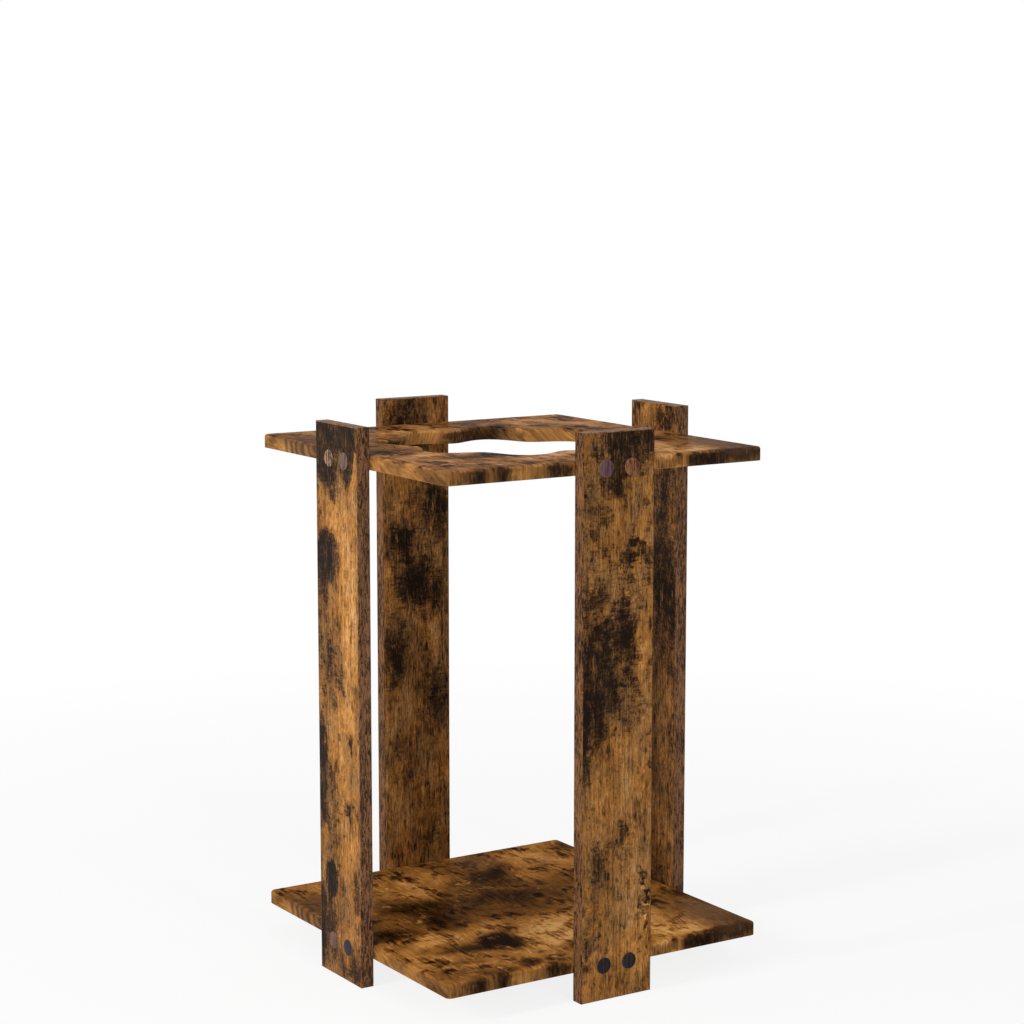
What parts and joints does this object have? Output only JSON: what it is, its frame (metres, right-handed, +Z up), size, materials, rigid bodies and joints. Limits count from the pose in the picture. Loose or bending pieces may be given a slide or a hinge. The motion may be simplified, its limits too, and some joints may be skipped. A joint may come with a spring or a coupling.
{
  "type": "rod rack",
  "caption": "Free-standing rack for fishing rods: a square base panel and a square top panel with a scalloped opening, held between flat uprights.",
  "frame": {"origin": "on the floor, under the middle of the rack", "axes": "+Z up; -Y towards the front upright; +X towards the right upright"},
  "size_m": [0.4262, 0.4262, 0.6],
  "materials": {
    "panel": "satin rustic oak print, horizontal grain",
    "upright": "satin rustic oak print, upright grain, dark scorched patches",
    "edge_band": "matt streaked oak print",
    "cover_cap": "matt dark brown and mauve print",
    "screw": "bright zinc"
  },
  "bodies": {
    "root": {"top_panel": "panel", "base_panel": "panel", "front_upright": "upright", "front_left_band": "edge_band", "front_right_band": "edge_band", "front_top_band": "edge_band", "front_foot_band": "edge_band", "front_upper_screws": "screw", "front_lower_screws": "screw", "front_upper_caps": "cover_cap", "front_lower_caps": "cover_cap", "right_upright": "upright", "right_left_band": "edge_band", "right_right_band": "edge_band", "right_top_band": "edge_band", "right_foot_band": "edge_band", "right_upper_screws": "screw", "right_lower_screws": "screw", "right_upper_caps": "cover_cap", "right_lower_caps": "cover_cap", "back_upright": "upright", "back_left_band": "edge_band", "back_right_band": "edge_band", "back_top_band": "edge_band", "back_foot_band": "edge_band", "back_upper_screws": "screw", "back_lower_screws": "screw", "back_upper_caps": "cover_cap", "back_lower_caps": "cover_cap", "left_upright": "upright", "left_left_band": "edge_band", "left_right_band": "edge_band", "left_top_band": "edge_band", "left_foot_band": "edge_band", "left_upper_screws": "screw", "left_lower_screws": "screw", "left_upper_caps": "cover_cap", "left_lower_caps": "cover_cap"}
  },
  "joints": []
}
